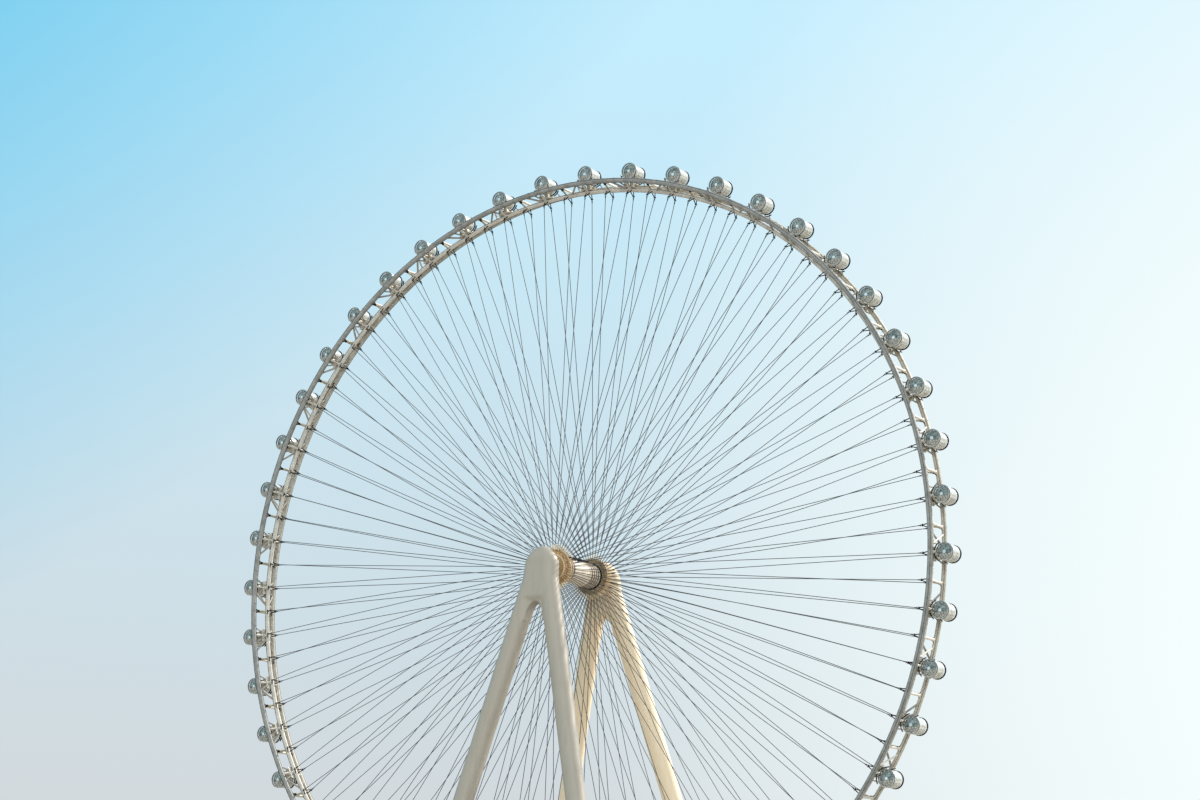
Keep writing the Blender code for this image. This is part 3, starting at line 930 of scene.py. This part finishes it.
for row, side in ROWS.items():
    bm = bmesh.new()
    add_both_runs(bm, side, add_socket)
    y = side * FLANGE_Y
    # The plate's dark brown is painted shade between the sockets, and the black ring by the drum is a painted
    # shadow of the gap in the joint.
    for edge, start, end, finish in ((FLANGE_EDGE, y - FLANGE_HALF, y + FLANGE_HALF, SHADED_PLATE),
                                     (HOOP_EDGE, y - HOOP_HALF, y + HOOP_HALF, HOOP),
                                     (SHADOW_RING_EDGE, y - side * SHADOW_RING_START, y - side * SHADOW_RING_END, SHADOW_RING)):
        flat_ring(bm, FLANGE_BORE, edge, start, end, 96, finish)
    lift_onto_axle(bm)
    finishes = [BLACK_STEEL, HUB_PAINT, SOCKET_METAL, PLATE_SHADE_AND_DRUM_BROWN, OLIVE_PAINT, DARKER_BROWN_FINISH]
    make_piece(f"{row}_flange", bm, finishes, "wheel")

# %% [markdown]
# ## The drum
# The drum between the flanges is a big pipe with ribs near both ends. It is one profile
# of radius and length, turned about the axle. The grooves between the ribs are painted
# darker. Outside the flanges the drum is brown, with bolts let in just under its
# end faces. A black tray with the wheel's wiring runs along the top.

# %% Make the drum
RIB_PLACES = (0.42, 0.53, 0.64, 0.75, 0.86)
RIB_HALF = 0.016
RIB_HEIGHT = 0.028
FLANGE_SEAT = 0.055
DRUM_BORE = 0.21
DRUM_TAN, TRAY_BLACK, DARKER_GROOVE, DRUM_BROWN = range(4)


def drum_profile():
    """The outline of the drum's wall, from one end to the other and back through the bore."""
    barrel = DRUM_RADIUS - RIB_HEIGHT
    half = [(DRUM_RADIUS, DRUM_HALF), (DRUM_RADIUS, FLANGE_Y + 0.06), (barrel, FLANGE_Y + FLANGE_SEAT),
            (barrel, FLANGE_Y - FLANGE_SEAT), (DRUM_RADIUS - 0.004, FLANGE_Y - 0.075)]
    for place in reversed(RIB_PLACES):
        half += [(barrel, place + 1.6 * RIB_HALF), (DRUM_RADIUS - 0.002, place + RIB_HALF),
                 (DRUM_RADIUS - 0.002, place - RIB_HALF), (barrel, place - 1.6 * RIB_HALF)]
    other_half = [(radius, -y) for radius, y in reversed(half)]
    return half + other_half + [(DRUM_BORE, -DRUM_HALF), (DRUM_BORE, DRUM_HALF)]


def paint_drum(bm):
    for face in bm.faces:
        middle = face.calc_center_median()
        in_groove = math.hypot(middle.x, middle.z) < DRUM_RADIUS - 0.006
        # Faces in the grooves between the ribs are painted darker.
        if in_groove and RIB_PLACES[0] < abs(middle.y) < RIB_PLACES[-1]:
            face.material_index = DARKER_GROOVE
        if abs(middle.y) > FLANGE_Y:
            face.material_index = DRUM_BROWN


print(f"the drum's outline has {len(drum_profile())} corners")

# %% The tray along its top
TRAY_START = -0.62
TRAY_END = 0.74
TRAY_TOP = DRUM_RADIUS + 0.03
TRAY_LENGTH = TRAY_END - TRAY_START
TRAY_WIDTH = 0.10
TRAY_FEET = 7
END_BOLTS = 24


def add_tray(bm):
    """A flat tray with two raised edges, on short feet along the top of the drum."""
    middle = AXLE + Vector((0.0, (TRAY_START + TRAY_END) / 2, TRAY_TOP))
    block(bm, middle, (TRAY_WIDTH, TRAY_LENGTH, 0.014), bevel=0.003, finish=TRAY_BLACK)
    for side in (-1, 1):
        block(bm, middle + Vector((side * 0.046, 0.0, 0.018)), (0.010, TRAY_LENGTH, 0.04), bevel=0.002,
              finish=TRAY_BLACK)
    for number in range(TRAY_FEET):
        y = TRAY_START + 0.08 + number * (TRAY_LENGTH - 0.16) / (TRAY_FEET - 1)
        block(bm, AXLE + Vector((0.0, y, TRAY_TOP - 0.02)), (0.07, 0.02, 0.05), bevel=0.002,
              finish=TRAY_BLACK)


def make_drum():
    bm = bmesh.new()
    turned(bm, drum_profile(), 72, DRUM_TAN)
    paint_drum(bm)
    for angle in even_angles(END_BOLTS):
        for side in (-1, 1):
            start = around(DRUM_RADIUS - 0.045, angle, side * (DRUM_HALF - 0.02))
            bar(bm, start, start + Y_AXIS * side * 0.019, 0.014, 6, finish=TRAY_BLACK)
    lift_onto_axle(bm)
    add_tray(bm)
    finishes = [HUB_PAINT, BLACK_STEEL, DARKER_BROWN_FINISH, PLATE_SHADE_AND_DRUM_BROWN]
    make_piece("drum", bm, finishes, "wheel", ["hub_drum"])


make_drum()

# %% [markdown]
# ## The A-frames
# A head is where two legs grow together. It is lofted from level sections, each of two
# half circles with straight sides between. A web closes the gap above a pointed arch,
# and the tops of the legs are put through it all. A voxel remesh melts them into one
# skin, and smoothing then rounds the edges, which is how a hand-blended weld looks.

# %% Where the legs run
LEG_RADIUS = 0.285
LEG_TOP = Vector((0.165, 1.63, AXLE.z))
FEET = {mount["name"]: Vector(mount["pos_m"]) for mount in frame["record"]["mounts"]}
FOOT = FEET["far_right_foot"]
SHOULDER = AXLE.z - 0.95
NECK = AXLE.z - 0.4
CROTCH = AXLE.z - 1.1
ARCH_FOOT = CROTCH - 0.55
LEG_JOINT = CROTCH - 0.6


def leg_point(side_x, side_y, z):
    """The point on a leg's centre line at a height."""
    share = z / LEG_TOP.z
    x = FOOT.x + (LEG_TOP.x - FOOT.x) * share
    y = FOOT.y + (LEG_TOP.y - FOOT.y) * share
    return Vector((side_x * x, side_y * y, z))


LEG_LINE = (leg_point(1, 1, LEG_TOP.z) - leg_point(1, 1, 0.0)).normalized()
LEG_HALF_WIDTH = LEG_RADIUS / math.hypot(LEG_LINE.y, LEG_LINE.z)
print(f"a leg leans {math.degrees(math.atan2(FOOT.x - LEG_TOP.x, LEG_TOP.z)):.1f} degrees sideways")

# %% The head's sections
HEAD_HALF_WIDTH = 0.54
DOME_RISE = 0.54
DOME_POWER = 1.6
DOME_SHARES = (0.0, 0.2, 0.4, 0.55, 0.7, 0.8, 0.9, 0.96, 0.99)
HALF_CIRCLE_STEPS = 16
WEB_HALF_THICKNESS = 0.2


def head_ring(bm, z, half_width, radius, side_y):
    """One level section of the head: two half circles joined by straight sides."""
    middle = leg_point(0, side_y, min(z, AXLE.z)).y
    ring = []
    for end in (1, -1):
        for step in range(HALF_CIRCLE_STEPS + 1):
            angle = math.pi * step / HALF_CIRCLE_STEPS - math.pi / 2
            x = end * (half_width - radius + radius * math.cos(angle))
            ring.append(bm.verts.new((x, middle + end * radius * math.sin(angle), z)))
    return [bm.edges.new(pair) for pair in zip(ring, ring[1:] + ring[:1])]


def add_dome(bm, side_y):
    rings = []
    for z, radius in ((SHOULDER - 0.12, WEB_HALF_THICKNESS), (SHOULDER, LEG_RADIUS), (NECK, LEG_RADIUS)):
        half_width = leg_point(1, 1, z).x + LEG_HALF_WIDTH - LEG_RADIUS + radius
        rings.append(head_ring(bm, z, half_width, radius, side_y))
    for share in DOME_SHARES:
        narrowing = (1.0 - share ** DOME_POWER) ** (1.0 / DOME_POWER)
        radius = LEG_RADIUS * min(math.sqrt(1.0 - share ** 2), 1.8 * narrowing)
        rings.append(head_ring(bm, AXLE.z + DOME_RISE * share, HEAD_HALF_WIDTH * narrowing, radius, side_y))
    for lower, upper in zip(rings, rings[1:]):
        bmesh.ops.bridge_loops(bm, edges=lower + upper)
    bmesh.ops.holes_fill(bm, edges=rings[0] + rings[-1], sides=0)


print(f"the heads reach {AXLE.z + DOME_RISE:.2f} m")

# %% The web and its arch
ARCH_STEPS = 12


def add_web(bm, side_y):
    """A plate that leans with the legs, over half an ellipse."""
    top = SHOULDER + LEG_RADIUS / 2
    span = leg_point(1, 1, ARCH_FOOT).x - LEG_HALF_WIDTH
    outline = [(leg_point(1, 1, top).x, top), (leg_point(1, 1, ARCH_FOOT).x, ARCH_FOOT)]
    for step in range(ARCH_STEPS + 1):
        angle = math.pi / 2 * (1 - step / ARCH_STEPS)
        outline.append((span * math.sin(angle), ARCH_FOOT + (CROTCH - ARCH_FOOT) * math.cos(angle)))
    outline += [(-x, z) for x, z in reversed(outline[:-1])]
    front = [bm.verts.new((x, leg_point(0, side_y, z).y - WEB_HALF_THICKNESS, z)) for x, z in outline]
    grown = bmesh.ops.extrude_face_region(bm, geom=[bm.faces.new(front)])["geom"]
    back = [item for item in grown if isinstance(item, bmesh.types.BMVert)]
    bmesh.ops.translate(bm, verts=back, vec=Y_AXIS * 2 * WEB_HALF_THICKNESS)


print(f"the arch is {CROTCH - ARCH_FOOT:.2f} m high")

# %% Melt the parts of a head into one skin
VOXEL = 0.022
SMOOTH_ROUNDS = 10


def melt(bm):
    """Join overlapping closed shells into one skin, and smooth it."""
    bmesh.ops.recalc_face_normals(bm, faces=bm.faces)
    mesh = new_mesh("melting", bm)
    lump = new_object("melting", mesh)
    remesh = lump.modifiers.new("voxels", "REMESH")
    remesh.mode = "VOXEL"
    remesh.voxel_size = VOXEL
    graph = bpy.context.evaluated_depsgraph_get()
    melted = bmesh.new()
    melted.from_object(lump, graph)
    bpy.data.objects.remove(lump)
    bpy.data.meshes.remove(mesh)
    for _ in range(SMOOTH_ROUNDS):
        bmesh.ops.smooth_vert(melted, verts=melted.verts, factor=0.5,
                              use_axis_x=True, use_axis_y=True, use_axis_z=True)
    return melted


for row, side_y in ROWS.items():
    bm = bmesh.new()
    add_dome(bm, side_y)
    add_web(bm, side_y)
    for side_x in (-1, 1):
        bar(bm, leg_point(side_x, side_y, LEG_JOINT),
            leg_point(side_x, side_y, SHOULDER + LEG_RADIUS / 2), LEG_RADIUS, 48)
    make_piece(f"{row}_head_shell", melt(bm), [SHADED_AND_LIT_FRAME_PAINTS[side_y]], "root",
               [f"{row}_head"], 60.0)

# %% [markdown]
# ## Bearing housings
# On the inner face of each head a round housing takes the spindle. It is turned, with a
# step, and its bolts are let in just under the face, clear of the turning drum.

# %% Make the bearing housings
BOSS_FACE = 1.22
BOSS_BACK = 1.62
BOSS_RADIUS = 0.36
STEP = BOSS_FACE + 0.058
HOLE = BOSS_FACE + 0.02
BOSS_PROFILE = [(0.0, BOSS_BACK), (BOSS_RADIUS, BOSS_BACK), (BOSS_RADIUS, BOSS_FACE + 0.07),
                (BOSS_RADIUS - 0.012, STEP), (BOSS_RADIUS - 0.03, STEP), (BOSS_RADIUS - 0.05, BOSS_FACE),
                (0.215, BOSS_FACE), (0.205, HOLE), (0.0, HOLE)]


for row, side in ROWS.items():
    bm = bmesh.new()
    turned(bm, [(radius, side * y) for radius, y in BOSS_PROFILE], 64, closed=False)
    bmesh.ops.remove_doubles(bm, verts=bm.verts, dist=0.0001)
    for angle in even_angles(END_BOLTS):
        start = around(BOSS_RADIUS - 0.085, angle, side * (BOSS_FACE + 0.01))
        bar(bm, start, start - Y_AXIS * side * 0.0095, 0.012, 6, finish=1)
    bmesh.ops.translate(bm, verts=bm.verts, vec=AXLE)
    make_piece(f"{row}_bearing_housing", bm, [SOCKET_METAL, BLACK_STEEL], "root")

# %% [markdown]
# ## Legs and feet
# A leg is a straight round tube that was welded from short lengths, so thin seams ring
# it. It is cut level at the ground with bisect_plane. At the bottom a base plate, a
# collar, stiffeners and anchor bolts spread its load.

# %% Make the legs
LEG_SIDES = 56
SEAMS = 5
FIRST_SEAM = 1.5
SEAM_HALF = 0.008
SEAM_PROUD = 0.0015


def make_leg(place, side_x, side_y):
    bm = bmesh.new()
    low = leg_point(side_x, side_y, -0.3)
    high = leg_point(side_x, side_y, LEG_JOINT + 0.07)
    up = (high - low).normalized()
    bar(bm, low, high, LEG_RADIUS, LEG_SIDES)
    bar(bm, high, high + up * 0.2, LEG_RADIUS, LEG_SIDES, LEG_RADIUS - 0.01)
    for number in range(SEAMS):
        middle = leg_point(side_x, side_y, FIRST_SEAM + number * (LEG_JOINT - FIRST_SEAM) / SEAMS)
        bar(bm, middle - up * SEAM_HALF, middle + up * SEAM_HALF, LEG_RADIUS + SEAM_PROUD, LEG_SIDES)
    cut = bmesh.ops.bisect_plane(bm, geom=bm.verts[:] + bm.edges[:] + bm.faces[:],
                                 plane_co=(0, 0, 0), plane_no=(0, 0, 1), clear_inner=True)
    edges = [item for item in cut["geom_cut"] if isinstance(item, bmesh.types.BMEdge)]
    bmesh.ops.contextual_create(bm, geom=edges)
    make_piece(f"{place}_leg_tube", bm, [SHADED_AND_LIT_FRAME_PAINTS[side_y]], "root", [f"{place}_leg"])


print(f"{SEAMS} seams round each leg")

# %% Make the feet
PLATE_RADIUS = 0.45
PLATE_THICK = 0.032
CAP_BOTTOM = 0.085
CAP_TOP = 0.10
STIFFENERS = 16
STIFFENER_SIZE = (0.13, 0.014, 0.06)


def make_foot(place, side_x, side_y):
    bm = bmesh.new()
    ground = leg_point(side_x, side_y, 0.0)
    bar(bm, ground, ground + UP * PLATE_THICK, PLATE_RADIUS, 64)
    bar(bm, ground + UP * CAP_BOTTOM, ground + UP * CAP_TOP, PLATE_RADIUS - 0.035, 64)
    for angle in even_angles(STIFFENERS, 0.5):
        turn = Matrix.Rotation(angle, 4, "Z")
        block(bm, ground + turn @ Vector((PLATE_RADIUS - 0.09, 0.0, 0.06)), STIFFENER_SIZE, turn)
    for angle in even_angles(STIFFENERS):
        bolt = ground + Matrix.Rotation(angle, 4, "Z") @ Vector((PLATE_RADIUS - 0.055, 0.0, 0.098))
        bar(bm, bolt, bolt + UP * 0.012, 0.014, 6, finish=1)
        bar(bm, bolt, bolt + UP * 0.021, 0.007, 8, finish=1)
    make_piece(f"{place}_foot", bm, [SHADED_AND_LIT_FRAME_PAINTS[side_y], BLACK_STEEL], "root")


for row, side_y in ROWS.items():
    for column, side_x in (("left", -1), ("right", 1)):
        make_leg(f"{row}_{column}", side_x, side_y)
        make_foot(f"{row}_{column}", side_x, side_y)

# %% [markdown]
# ## The spindle
# The spindle is plain and round in the frame already, so it only gets a finish: turned
# steel with fine rings left by the tool.

# %% Finish the spindle
TOOL_RINGS = 900.0


def spindle_finish():
    finish = Finish("turned_steel", (0.30, 0.29, 0.28), Metallic=0.9)
    y = finish.node("ShaderNodeSeparateXYZ", {}, {0: finish.place()}, 1)
    rings = finish.node("ShaderNodeMath", {"operation": "SINE"}, {0: y * TOOL_RINGS})
    finish.weather(finish.noise(8.0, 3.0), (0.24, 0.235, 0.23), (0.38, 0.37, 0.35), 0.28, 0.2)
    finish.bump(rings, 0.2, 0.001)
    return finish.material


spindle = frame["nodes"]["spindle"]
spindle.data.materials.clear()
spindle.data.materials.append(spindle_finish())
print("spindle finished")

# %% [markdown]
# ## One capsule
# A capsule is a glass barrel with two glazed ends. It is modelled once, round its own
# axis: the skin is a turned profile, whose faces become roof, clear glass, tinted glass
# or keel plate by where they are. The roof's white is painted light on the sunlit top,
# the clear glass's near white is a painted reflection, and the tinted glass's darkness
# is painted shade. Rings and long bars make the white ribs, thin bars divide the ends
# like the slices of a cake, and a ring stands off each shoulder on small blocks. Inside
# there are a floor, a bench and a strip along the ceiling.

# %% Sizes of a capsule
BARREL = 0.231
STRAIGHT = 0.185
END_RADIUS = 0.190
END_EDGE = 0.243
END_MIDDLE = CAPSULE_HALF - 0.001
PANE_RADIUS = 0.052
BAND_RADIUS = 0.125
RING_INNER = 0.218
FLOOR_Z = -0.095
SILL_Z = 0.01
APRON_Z = -0.06
SUNLIT_ROOF_HALF = math.radians(32)
FINISHES = [SHELL, BARREL_GLASS_PAINTED_REFLECTION, END_GLASS_PAINTED_SHADE, PANE_GLASS_PAINTED_REFLECTION, UNDERSIDE, CABIN, RING_STEEL, BLACK_STEEL,
            KEEL_STEEL]
WHITE, CLEAR_PAINTED_REFLECTION, TINTED_PAINTED_SHADE, PALE_PANE_REFLECTION, BELLY, LINING, STEEL, DARK, KEEL = range(len(FINISHES))


def end_surface(radius):
    """How far from the capsule's middle its bulging end is, at a radius."""
    return END_MIDDLE - (END_MIDDLE - END_EDGE) * (radius / END_RADIUS) ** 2


def capsule_profile():
    """The skin from the near end's middle to the far end's."""
    half = [(radius, end_surface(radius)) for radius in (0.0, PANE_RADIUS, BAND_RADIUS, END_RADIUS)]
    for angle in (65, 40, 18, 0):
        turn = math.radians(angle)
        half.append((END_RADIUS + (BARREL - END_RADIUS) * math.cos(turn),
                     STRAIGHT + (END_EDGE - STRAIGHT) * math.sin(turn)))
    half += [(BARREL, 0.1), (BARREL, 0.0)]
    near = [(radius, -y) for radius, y in half]
    return near + [(radius, y) for radius, y in reversed(half[:-1])]


def skin_finish(middle):
    """Which finish a face of the skin has, by where its middle is."""
    if middle.z < APRON_Z and abs(middle.y) > STRAIGHT:
        return KEEL
    # The ends' darker glass is painted shade, and their pale middle pane is a painted reflection.
    if abs(middle.y) > END_EDGE:
        return PALE_PANE_REFLECTION if math.hypot(middle.x, middle.z) < PANE_RADIUS else TINTED_PAINTED_SHADE
    if abs(middle.y) > STRAIGHT + 0.03:
        return TINTED_PAINTED_SHADE
    # The roof strip is painted white as painted light on the capsule's sunlit top.
    if abs(math.atan2(middle.x, middle.z)) < SUNLIT_ROOF_HALF:
        return WHITE
    # The clear glass's near white is a painted reflection.
    return CLEAR_PAINTED_REFLECTION if middle.z > SILL_Z else KEEL


def add_skin(bm):
    skin = turned(bm, capsule_profile(), 48, closed=False)
    bmesh.ops.remove_doubles(bm, verts=skin, dist=0.0001)
    for face in bm.faces:
        face.material_index = skin_finish(face.calc_center_median())


print("capsule barrel", BARREL, "m in radius")

# %% Ribs and rings
RIB_PLACE = 0.1
END_RIB_HALF = 0.008
MIDDLE_RIB_HALF = 0.0045
RING_SOFT = 0.003
RING_BLOCKS = 12


def add_ribs(bm):
    for y in (-STRAIGHT, -RIB_PLACE, 0.0, RIB_PLACE, STRAIGHT):
        half = END_RIB_HALF if abs(y) == STRAIGHT else MIDDLE_RIB_HALF
        flat_ring(bm, BARREL - 0.008, BARREL + 0.004, y - half, y + half, 40, WHITE)
    for number in range(9):
        angle = math.radians(-18 + 27 * number)
        block(bm, around(BARREL, angle, 0.0), (0.010, 2 * STRAIGHT, 0.007), facing(angle), finish=WHITE)


def add_rings(bm):
    """The two bearing rings, black as painted shade for their inner side, which is seen in shade. Their outer
    faces are grey steel above and keel paint below.
    """
    for side in (-1, 1):
        inboard = side * (RING_Y - RING_HALF)
        outboard = side * (RING_Y + RING_HALF)
        soft = side * RING_SOFT
        # The ring is black as painted shade, except for its outboard faces.
        ring = turned(bm, [(RING_INNER, inboard), (RING_OUTER - RING_SOFT, inboard),
                           (RING_OUTER, inboard + soft), (RING_OUTER, outboard - soft),
                           (RING_OUTER - RING_SOFT, outboard), (RING_INNER, outboard)], 48, DARK)
        for face in faces_at(ring):
            middle = face.calc_center_median()
            if abs(middle.y) > RING_Y + RING_HALF - 0.002:
                face.material_index = STEEL if middle.z > 0.0 else KEEL
        for angle in even_angles(RING_BLOCKS, 0.5):
            block(bm, around(0.214, angle, side * (RING_Y - 0.01)), (0.036, 0.018, 0.014),
                  facing(angle), finish=WHITE)


print("ribs and rings can be added")

# %% The bars in the ends
END_BARS = 12
END_BAR = 0.005


def add_end_bars(bm):
    """Rays between the pane, the band and the edge of each end, and a flat ring on each of them."""
    steps = (PANE_RADIUS, BAND_RADIUS, END_RADIUS)
    for side in (-1, 1):
        for number, angle in enumerate(even_angles(END_BARS, 0.5)):
            points = [around(radius, angle, side * (end_surface(radius) + 0.001)) for radius in steps]
            if number % 3 == 0:
                bar(bm, points[0], points[1], END_BAR, 6, finish=DARK)
            bar(bm, points[1], points[2], END_BAR, 6, finish=STEEL if number % 2 else DARK)
        for radius, half in zip(steps, (0.007, 0.006, 0.008)):
            y = side * (end_surface(radius) - 0.002)
            flat_ring(bm, radius - half, radius + half, y - END_BAR, y + END_BAR, 40, STEEL)


print("end bars can be added")

# %% The belly and the inside
HOUSING_PLACES = (-0.125, 0.0, 0.125)
HOUSING_SIZE = (0.016, 0.108, 0.066)
RAIL_X = 0.19
RAIL_HALF = 0.19
RAIL = 0.004


def add_belly(bm):
    """Equipment housings under the floor, which follow the round of the shell."""
    for number in range(8):
        angle = math.radians(-160 + 20 * number)
        for y in HOUSING_PLACES:
            block(bm, around(BARREL - 0.004, angle, y), HOUSING_SIZE, facing(angle), finish=BELLY)


def add_inside(bm):
    wide = math.sqrt((BARREL - 0.006) ** 2 - FLOOR_Z ** 2)
    rail_z = FLOOR_Z + 0.11
    block(bm, (0.0, 0.0, FLOOR_Z), (2 * wide, 2 * STRAIGHT + 0.02, 0.008), finish=LINING)
    block(bm, (0.0, 0.0, FLOOR_Z + 0.028), (0.07, 0.30, 0.045), bevel=0.01, finish=DARK)
    block(bm, (0.0, 0.0, BARREL - 0.022), (0.09, 2 * STRAIGHT - 0.02, 0.022), bevel=0.004, finish=LINING)
    for way in (-1, 1):
        x = way * RAIL_X
        bar(bm, (x, -RAIL_HALF, rail_z), (x, RAIL_HALF, rail_z), RAIL, 6, finish=WHITE)


def capsule_mesh():
    bm = bmesh.new()
    for add_part in (add_skin, add_ribs, add_rings, add_end_bars, add_belly, add_inside):
        add_part(bm)
    bmesh.ops.recalc_face_normals(bm, faces=bm.faces)
    return bm


print("the inside is a floor, a bench and a ceiling strip")

# %% [markdown]
# ## Forty-eight capsules
# Each capsule stays level on a hinge of its own, so each one is a piece of its own that
# rides on its own body. The model is copied and moved to its seat, with the place in
# the mesh and the object left at the origin.

# %% Make the capsules
model = capsule_mesh()
for node in CAPSULES:
    bm = model.copy()
    bmesh.ops.translate(bm, verts=bm.verts, vec=SEATS[node])
    make_piece(f"{node}_cabin", bm, FINISHES, node, [node], 30.0)
model.free()
